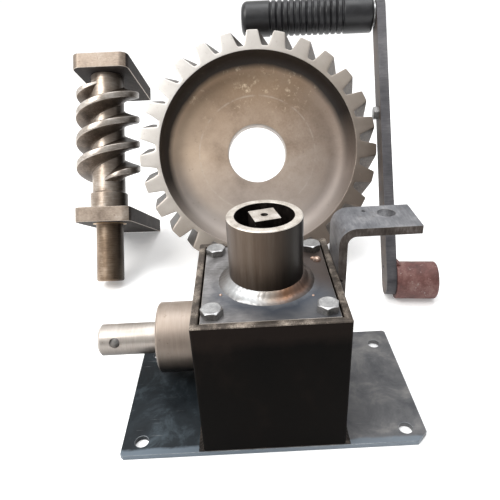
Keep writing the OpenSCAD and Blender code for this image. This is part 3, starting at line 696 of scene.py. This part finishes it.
def ring_path(radius, z, steps, flip=1, start=0.0, sweep=360.0):
    """Points round a circle at height z. flip is 1 or -1, the side that the bead rises to."""
    out = []
    count = steps if sweep == 360.0 else steps + 1
    for i in range(count):
        a = math.radians(start + sweep * i / steps)
        outward = Vector((math.cos(a), math.sin(a), 0))
        run = radius * math.radians(sweep * i / steps)
        out.append((outward * radius + Vector((0, 0, z)), outward, Vector((0, 0, flip)), run))
    return out


def line_path(start, end, outward, upward):
    """Points every half millimetre along a straight corner."""
    start, end = Vector(start), Vector(end)
    length = (end - start).length
    count = int(length / 0.5)
    return [(start.lerp(end, i / count), Vector(outward), Vector(upward), length * i / count)
            for i in range(count + 1)]


def hex_head(af, h, turned):
    """A hexagon head. Its top corners are turned off at 28 degrees round a flat disc."""
    columns = 96
    disc = 0.46 * af
    low, high, cap = [], [], []
    for i in range(columns):
        a = 2 * math.pi * i / columns + math.radians(turned)
        local = (i * 360 / columns) % 60 - 30
        flat = af / 2 / math.cos(math.radians(local))
        r = min(flat, af / math.sqrt(3) * 0.985)
        z = h - max(0.0, r - disc) * math.tan(math.radians(28))
        c, s = math.cos(a), math.sin(a)
        low.append((r * c, r * s, 0))
        high.append((r * c, r * s, z - 0.1))
        cap.append((disc * c, disc * s, h))
    rings = [low, high,
             [(x * 0.985, y * 0.985, z + 0.1) for x, y, z in high],
             cap,
             [(x * 0.96, y * 0.96, z) for x, y, z in cap],
             [(x * 0.93, y * 0.93, z - 0.08) for x, y, z in cap]]
    verts = [v for ring in rings for v in ring] + [(0, 0, h - 0.08), (0, 0, 0)]
    faces, marks = [], []
    for k in range(len(rings) - 1):
        for i in range(columns):
            j = (i + 1) % columns
            low_row, high_row = k * columns, (k + 1) * columns
            faces.append((low_row + i, low_row + j, high_row + j, high_row + i))
            # mark 1 puts the painted shade material on the hexagon's sides
            marks.append(1 if k == 0 else 0)
    last = (len(rings) - 1) * columns
    for i in range(columns):
        j = (i + 1) % columns
        faces += [(last + i, last + j, len(verts) - 2), (j, i, len(verts) - 1)]
        marks += [0, 0]
    return verts, faces, marks


# ---------- gearbox ----------

def make_housing():
    refine("base_plate", "gearbox", ["scale", "scale_edge"], 0.5)

    def rim(normal, centre):
        return 1 if normal.z > 0.9 and centre.z > 100 else 0
    refine("housing", "gearbox", ["housing", "housing_rim"], 0.9, mark=rim, angle=60)
    x, y, z, short = HOUSING_X, HOUSING_Y, BASE_T, 0.5
    corners = (((x, -y + short, z), (x, y - short, z), (1, 0, 0), 1.0),
               ((-x, -y + short, z), (-x, y - short, z), (-1, 0, 0), 2.0),
               ((-x + short, y, z), (x - short, y, z), (0, 1, 0), 3.0))
    beads = [bead(line_path(a, b, outward, (0, 0, 1)), False, 4, 4, 3.2, seed)
             for a, b, outward, seed in corners]
    build("housing_weld_beads", *join(*beads), ["weld_dark"], "gearbox", ["housing_weld"], "weld")


def make_lid():
    refine("lid_lugs", "gearbox", ["inner_steel", "inner_steel"], 0.3)
    refine("lid", "gearbox", ["lid", "lid_edge"], 0.35)
    bolts = []
    for x in (-1, 1):
        for y in (-1, 1):
            head = hex_head(BOLT_AF, 5.3, 15 + 11 * x + 7 * y)
            shank = lathe([(0, 0.2), (BOLT_R, 0.2), (BOLT_R, -BOLT_SHANK), (0, -BOLT_SHANK)], 48)
            place = Matrix.Translation((LID_BOLT_X * x, LID_BOLT_Y * y, LID_TOP))
            bolts.append(moved(join(head, shank), place))
    build("lid_bolt_heads", *join(*bolts), ["zinc", "zinc_dark"], "gearbox", ["lid_bolts"], "zinc")


def weld_drop(x, y, size):
    """A spatter drop on the lid."""
    outline = [(0, 0), (size, 0), (size * 0.93, size * 0.35), (size * 0.66, size * 0.62),
               (size * 0.3, size * 0.76), (0, size * 0.8)]
    return moved(lathe(outline, 24, lambda r, z: 1), Matrix.Translation((x, y, LID_TOP)))


def make_collar():
    r, bore_r, h = COLLAR_R, COLLAR_BORE_R, COLLAR_H
    outline = soften([(bore_r, 0), (r, 0), (r, h - 0.8), (r - 0.8, h), (bore_r, h)], 0.35)
    # the bore's faces take mark 2, the near-black painted shade
    collar = lathe(outline, 144, lambda r, z: 1 if z > h - 0.7 else 2 if r < bore_r + 0.5 else 0)
    build("collar_pipe", *moved(collar, up(LID_TOP)), ["collar", "cut_ring", "oily_dark"],
          "gearbox", ["output_collar"], "turned_dark")
    around = bead(ring_path(COLLAR_R, LID_TOP, 620), True, 8, 6, 3.4, 7.0,
                  rough=0.05, ripple=0.025, hollow=0.34)
    drops = [weld_drop(*drop) for drop in ((38.5, 22.5, 3.2), (35.8, 24.5, 1.9),
                                           (-31.5, -18, 1.0), (29.5, -24, 0.9))]
    build("collar_weld_bead", *join(around, *drops), ["collar_weld", "blob"],
          "gearbox", ["collar_weld"], "weld", sharp=60)
    for node in ("output_bush_top", "output_bush_bottom", "thrust_washer"):
        refine(node, "gearbox", ["bronze", "bronze"], 0.3)
    refine("bottom_bearing_cup", "gearbox", ["inner_steel", "inner_steel"], 0.4)


def make_input_boss():
    r, bore_r, h = BOSS_R, BOSS_BORE_R, BOSS_H
    outline = soften([(bore_r, 0), (r, 0), (r, h - 1.5), (r - 1.5, h), (bore_r, h)], 0.4)
    verts, faces, marks = lathe(outline, 144, lambda r, z: 1 if z > h - 0.1 else 0)
    outward = [(x, y, -HOUSING_X - z) for x, y, z in verts]
    build("input_boss_pipe", outward, faces, marks, ["boss", "cut_ring"],
          "gearbox", ["input_boss"], "turned_tan", INPUT)
    around = bead(ring_path(BOSS_R, -HOUSING_X, 600, flip=-1), True, 3.4, 3.4, 2.7, 9.0)
    build("input_boss_bead", *around, ["weld_dark"], "gearbox", ["input_boss_weld"], "weld", INPUT)
    refine("input_bush_outer", "gearbox", ["bronze", "bronze"], 0.3, INPUT)
    refine("inner_boss", "gearbox", ["inner_steel", "inner_steel"], 0.4, INPUT)
    refine("input_bush_inner", "gearbox", ["bronze", "bronze"], 0.3, INPUT)


def make_bracket():
    # faces turned to the front or right low down, and all undersides, take the bracket's painted shade
    # copy
    def leg(normal, centre):
        side = centre.z < 138 and (normal.y < -0.5 or normal.x > 0.5)
        return 1 if side or normal.z < -0.3 else 0
    refine("side_bracket", "gearbox", ["bracket", "bracket_shaded_copy", "bracket_edge"],
           0.55, mark=leg, angle=40)
    low, high = BRACKET_WELD_LOW, BRACKET_WELD_HIGH
    sides = [bead(line_path((HOUSING_X, y, low), (HOUSING_X, y, high), (0, outward, 0), (1, 0, 0)),
                  False, 4, 4, 3.0, 12.0 + y) for y, outward in ((0, -1), (BRACKET_W, 1))]
    build("bracket_weld_beads", *join(*sides), ["weld_dark"], "gearbox", ["bracket_weld"], "weld")


# ---------- turning pieces of the gearbox ----------

def make_shafts():
    def shaft_end(normal, centre):
        return 1 if centre.z < -135.5 or centre.z > -40 else 0
    refine("input_shaft", "input", ["bright_shaft", "square_end"], 0.25, INPUT,
           shaft_end)
    refine("drive_worm", "input", ["inner_steel"], 0, INPUT)
    refine("drive_worm_pin", "input", ["inner_steel", "inner_steel"], 0.2, INPUT)
    refine("input_spacer", "input", ["inner_steel", "inner_steel"], 0.2, INPUT)
    refine("stop_collar", "input", ["inner_steel", "inner_steel"], 0.4, INPUT)
    refine("stop_collar_screw", "input", ["black_oxide", "black_oxide"], 0.1, INPUT)

    # faces other than the square's top take the bore's near-black painted shade
    def square_top(normal, centre):
        return 0 if normal.z > 0.9 and centre.z > 159 else 1
    refine("output_shaft", "output", ["square_end", "oily_dark", "square_end"], 0.3,
           mark=square_top)
    refine("drive_wheel", "output", ["bronze"], 0)
    refine("drive_wheel_pin", "output", ["inner_steel", "inner_steel"], 0.2)


# ---------- crank ----------

def make_crank():
    def broad(normal, centre):
        return 1 if abs(normal.z) > 0.9 else 0
    base = crank_axis(0)
    refine("crank_arm", "crank", ["arm_edge", "arm_face", "arm_edge"], 0.8, base,
           broad, angle=40)
    hub = lathe(soften([(HUB_BORE_R, 0), (HUB_R, 0), (HUB_R, HUB_L - 1.5), (HUB_R - 1.5, HUB_L),
                        (HUB_BORE_R, HUB_L)], 0.4), 120)
    build("crank_hub_pipe", *moved(hub, up(ARM_T)), ["hub"], "crank", ["crank_hub"], "hub_oxide",
          base)
    arc = bead(ring_path(HUB_R, ARM_T, 260, start=128, sweep=104), False, 4, 4, 2.6, 15.0)
    build("crank_hub_bead", *arc, ["hub"], "crank", ["crank_hub_weld"], "hub_oxide", base)
    inner_face = crank_axis(0.6 * THROW) @ rot("X", 180)
    build("arm_bolt_head", *hex_head(BOLT_AF, 6, 12), ["zinc", "zinc_dark"], "crank",
          ["arm_bolt"], "zinc", inner_face)
    tip = crank_axis(THROW)
    refine("grip_spindle", "crank", ["inner_steel", "inner_steel"], 0.3, tip)
    refine("grip_washer", "crank", ["zinc", "zinc"], 0.3, tip)
    build("ribbed_grip", *moved(grip_shape(), up(-GRIP_L - GRIP_GAP)), ["grip"], "grip", ["grip"],
          "grip_rubber", tip, sharp=55)


def grip_shape():
    """A sleeve with a round rim at one end, grooves along its middle and a bore of 6 mm radius."""
    zone = 0.55 * GRIP_L
    pitch = zone / GRIP_RIBS
    first = (GRIP_L - zone) / 2
    grooved = []
    steps = 16 * GRIP_RIBS
    for i in range(steps + 1):
        z = first - pitch / 2 + (zone + pitch) * i / steps
        wave = math.cos(2 * math.pi * (z - first) / pitch)
        grooved.append((GRIP_R - 1.8 * max(0.0, wave) ** 1.6, z))
    rim_r = 7
    mouth = [(7, 8), (11, 8), (11, 0.5), (11.5, 0)]
    rim = [(GRIP_R - rim_r + rim_r * math.sin(a), rim_r - rim_r * math.cos(a))
           for a in np.linspace(0, math.pi / 2, 9)]
    end = [(GRIP_R, 147), (19.2, 148.6), (18.2, 149.6), (17, GRIP_L), (6.5, GRIP_L),
           (6.03, 149.4), (6.03, 8.5)]
    return lathe(mouth + rim + grooved + end, 120)


# ---------- loose worm ----------

def worm_body(z_core, z_journal):
    """The shaft that carries the thread, from its free end to the top of the upper journal."""
    z_neck = z_core - 19
    z_top = z_journal + 16.3
    outline = [(0, 0), (FREE_R - FREE_CHAMFER, 0), (FREE_R, FREE_CHAMFER), (FREE_R, 63), (SHAFT_R, 63.2),
               (SHAFT_R, z_neck), (19.5, z_neck), (20.5, z_neck + 1), (20.5, z_core - 2),
               (WORM_ROOT_R, z_core), (WORM_ROOT_R, z_journal), (JOURNAL_R, z_journal),
               (JOURNAL_R, z_top - 1), (JOURNAL_R - 1, z_top), (0, z_top)]
    return lathe(soften(outline, 0.5), 120, lambda r, z: 3 if z < 80 else 2)


def worm_start(z_low):
    """One start of the thread, which fades out at both ends. Its crest has mark 1."""
    pitch = MODULE * math.pi
    lead = WORM_STARTS * pitch
    steps, fade = 110, 0.2
    half_root = pitch * 0.28
    foot_r = WORM_ROOT_R - 0.8
    line = [(foot_r, 2.4), (18.1, 1.5), (18.9, 0.55), (20.2, 0.05), (22.5, 0), (26, 0), (30, 0),
            (33.2, 0), (34.4, -0.45), (WORM_TIP_R, -1.4)]
    half = [(r, half_root - (r - WORM_ROOT_R) * 0.25 + flare) for r, flare in line]
    shape = [(r, -w) for r, w in half] + [(r, w) for r, w in reversed(half)]
    count = int(THREAD_TURNS * steps)
    verts, faces, marks = [], [], []
    for i in range(count + 1):
        t = THREAD_TURNS * i / count
        rise = max(0.02, min(1.0, t / fade, (THREAD_TURNS - t) / fade))
        rise = rise * rise * (3 - 2 * rise) if rise < 1 else 1.0
        a = 2 * math.pi * t
        for r, w in shape:
            rr = foot_r + (r - foot_r) * rise
            ww = w * (0.35 + 0.65 * rise)
            verts.append((rr * math.cos(a), rr * math.sin(a), z_low + t * lead + ww))
    ring = len(shape)
    crest = len(line) - 2
    for i in range(count):
        for k in range(ring):
            n = (k + 1) % ring
            faces.append((i * ring + k, (i + 1) * ring + k, (i + 1) * ring + n, i * ring + n))
            marks.append(1 if crest <= k <= ring - crest - 2 else 0)
    faces += [tuple(range(ring)), tuple(range(count * ring, (count + 1) * ring))]
    marks += [0, 0]
    return verts, faces, marks


def make_worm():
    z_core, z_journal = 99.3, 230.7
    thread = worm_start(z_core + 10)
    starts = [moved(thread, rot("Z", THREAD_START + 360 / WORM_STARTS * i))
              for i in range(WORM_STARTS)]
    build("worm_thread", *join(worm_body(z_core, z_journal), *starts),
          ["worm_flank", "worm_crest", "worm_neck", "worm_shaft"], "worm", ["worm"], "worm_steel",
          WORM, sharp=50)

    def shaded(normal, centre):
        return 1 if normal.z < -0.5 or normal.x > 0.8 else 0
    for node in ("worm_plate_top", "worm_plate_bottom"):
        refine(node, "worm_set", ["plate", "plate_shaded_copy", "plate_edge"], 1.0, WORM,
               shaded, angle=40)
    for node in ("worm_bush_top", "worm_bush_bottom"):
        refine(node, "worm_set", ["bronze", "bronze"], 0.3, WORM)


# ---------- loose worm wheel ----------

def tooth_outline():
    """(angle, radius) of every point round the toothed rim."""
    half = [(-6.667, ROOT_R), (-5.9, ROOT_R), (-5.25, ROOT_R + 0.15), (-4.9, ROOT_R + 1.0),
            (-4.62, ROOT_R + 2.6), (-4.2, 116.8), (-3.6, PITCH_R), (-3.15, 125.3), (-2.85, 127.6),
            (-2.62, 128.4), (-2.25, TIP_R), (-0.8, TIP_R)]
    tooth = half + [(-a, r) for a, r in reversed(half[1:])]
    return [(math.radians(-90 + a + 360 / TEETH * i), r) for i in range(TEETH) for a, r in tooth]


def make_wheel():
    worm_pitch_r = 27.8
    lead = WORM_STARTS * MODULE * math.pi
    twist = FACE * lead / (2 * math.pi * worm_pitch_r) / PITCH_R
    outline = tooth_outline()
    n = len(outline)
    points = np.array([(r * math.cos(a), r * math.sin(a)) for a, r in outline])
    along = np.roll(points, -1, 0) - np.roll(points, 1, 0)
    inward = np.stack([-along[:, 1], along[:, 0]], 1)
    inward /= np.linalg.norm(inward, axis=1)[:, None]

    def turned(pts, z):
        a = twist * z / FACE
        c, s = math.cos(a), math.sin(a)
        return [(x * c - y * s, x * s + y * c, z) for x, y in pts]

    def circle(r, z):
        return turned([(r * math.cos(a), r * math.sin(a)) for a, _ in outline], z)

    rings, zones = [], []

    def add(ring, zone):
        rings.append(ring)
        zones.append(zone)

    side, machined, web, bore, edge = range(5)
    wall_r, fillet = ROOT_R - 5, 22
    add(circle(WHEEL_BORE_R, FACE - 1), bore)
    add(circle(WHEEL_BORE_R, WEB_Z + 1.2), bore)
    add(circle(32.8, WEB_Z + 0.3), edge)
    for r in (33.6, 36, 46, 60, 75):
        add(circle(r, WEB_Z), web)
    for k in range(11):
        a = math.pi / 2 * k / 10
        add(circle(wall_r - fillet + fillet * math.sin(a), WEB_Z - fillet + fillet * math.cos(a)), web)
    add(circle(wall_r, 1.0), web)
    add(circle(wall_r + 0.25, 0.35), edge)
    add(circle(wall_r + 0.9, 0), machined)
    add(turned(points + inward, 0), edge)
    add(turned(points + inward * 0.35, 0.3), edge)
    for k in range(10):
        add(turned(points, 1.0 + (FACE - 2) * k / 10), side)
    add(turned(points, FACE - 1.0), edge)
    add(turned(points + inward * 0.35, FACE - 0.3), edge)
    add(turned(points + inward, FACE), machined)
    for r in (100, 60):
        add(circle(r, FACE), machined)
    add(circle(WHEEL_BORE_R + 1, FACE), bore)

    verts = [v for ring in rings for v in ring]
    faces, marks = [], []
    for k, zone in enumerate(zones):
        m = (k + 1) % len(rings)
        for j in range(n):
            q = (j + 1) % n
            faces.append((k * n + j, k * n + q, m * n + q, m * n + j))
            marks.append(zone)
    build("worm_wheel_cast", verts, faces, marks, ["tooth_side", "machined", "web", "bore", "machined"],
          "wheel", ["worm_wheel"], "wheel_steel", WHEEL, sharp=34)


make_housing()
make_lid()
make_collar()
make_input_boss()
make_bracket()
make_shafts()
make_crank()
make_worm()
make_wheel()


# ---------- floor, light, camera ----------

def make_floor():
    """A pale floor, which shines a little so that it renders as plain as the photo's ground."""
    m = Nodes("pale_floor", 0.0, 0.1)
    m.bsdf.inputs["Emission Color"].default_value = (1, 1, 1, 1)
    m.bsdf.inputs["Emission Strength"].default_value = 0.24
    m.finish(m.ramp(m.noise(400, 3, 0.5), (0.3, (0.93, 0.93, 0.93)), (0.7, (0.95, 0.95, 0.95))), 0.8)
    steps, size, drop = 8, 24.0, 0.0002
    verts = [((i / steps - 0.5) * size, (j / steps - 0.5) * size, -drop)
             for j in range(steps + 1) for i in range(steps + 1)]
    row = steps + 1
    faces = [(j * row + i, j * row + i + 1, (j + 1) * row + i + 1, (j + 1) * row + i)
             for j in range(steps) for i in range(steps)]
    mesh = bpy.data.meshes.new("floor")
    mesh.from_pydata(verts, [], faces)
    mesh.materials.append(m.mat)
    floor = bpy.data.objects.new("floor", mesh)
    bpy.context.scene.collection.objects.link(floor)


def make_world():
    """Soft light that is brightest from the back left and above, and dim from the other side."""
    world = bpy.data.worlds.new("studio")
    bpy.context.scene.world = world
    world.use_nodes = True
    sky = world.node_tree
    ground = sky.nodes["Background"]
    ground.inputs[0].default_value = (1.0, 1.0, 1.0, 1)
    toward = sky.nodes.new("ShaderNodeVectorMath")
    toward.operation = "DOT_PRODUCT"
    toward.inputs[1].default_value = (-0.42, 0.62, 0.66)
    level = sky.nodes.new("ShaderNodeMapRange")
    for socket, value in zip(level.inputs[1:5], (-0.35, 0.52, 0.34, 1.04)):
        socket.default_value = value
    coord = sky.nodes.new("ShaderNodeTexCoord").outputs["Generated"]
    sky.links.new(coord, toward.inputs[0])
    sky.links.new(toward.outputs["Value"], level.inputs[0])
    sky.links.new(level.outputs[0], ground.inputs[1])


def area_light(name, place, aim, size, power, colour):
    light = bpy.data.lights.new(name, "AREA")
    light.shape = "RECTANGLE"
    light.size, light.size_y = size
    light.energy = power
    light.color = colour
    lamp = bpy.data.objects.new(name, light)
    lamp.location = place
    lamp.rotation_euler = (Vector(aim) - Vector(place)).to_track_quat("-Z", "Y").to_euler()
    bpy.context.scene.collection.objects.link(lamp)


def make_lights():
    area_light("key_left", (-1.1, -0.5, 1.5), (0, 0.15, 0.1), (1.0, 1.0), 26, (1.0, 0.985, 0.96))
    area_light("top_soft", (0.1, 0.35, 1.9), (0, 0.1, 0.0), (1.4, 1.0), 16, (0.97, 0.985, 1.0))


def make_camera():
    """The photo's viewpoint: it looks down, turned a little about its own axis."""
    data = bpy.data.cameras.new("camera")
    data.sensor_width = 36
    data.lens = 35.496
    data.clip_start = 0.01
    yaw, pitch, roll = (math.radians(a) for a in (-0.1, 28.6, 2.9))
    side = Vector((math.cos(yaw), math.sin(yaw), 0))
    level = Vector((-math.sin(yaw), math.cos(yaw), 0))
    above = Vector((0, 0, 1))
    ahead = level * math.cos(pitch) - above * math.sin(pitch)
    tall = level * math.sin(pitch) + above * math.cos(pitch)
    local_x = side * math.cos(roll) - tall * math.sin(roll)
    local_y = side * math.sin(roll) + tall * math.cos(roll)
    place = Matrix((local_x, local_y, -ahead)).transposed().to_4x4()
    place.translation = (-0.011, -0.293, 0.294)
    camera = bpy.data.objects.new("camera", data)
    bpy.context.scene.collection.objects.link(camera)
    camera.matrix_world = place
    bpy.context.scene.camera = camera


make_floor()
make_world()
make_lights()
make_camera()
bpy.context.scene.view_settings.view_transform = "Standard"

bpy.context.view_layer.update()
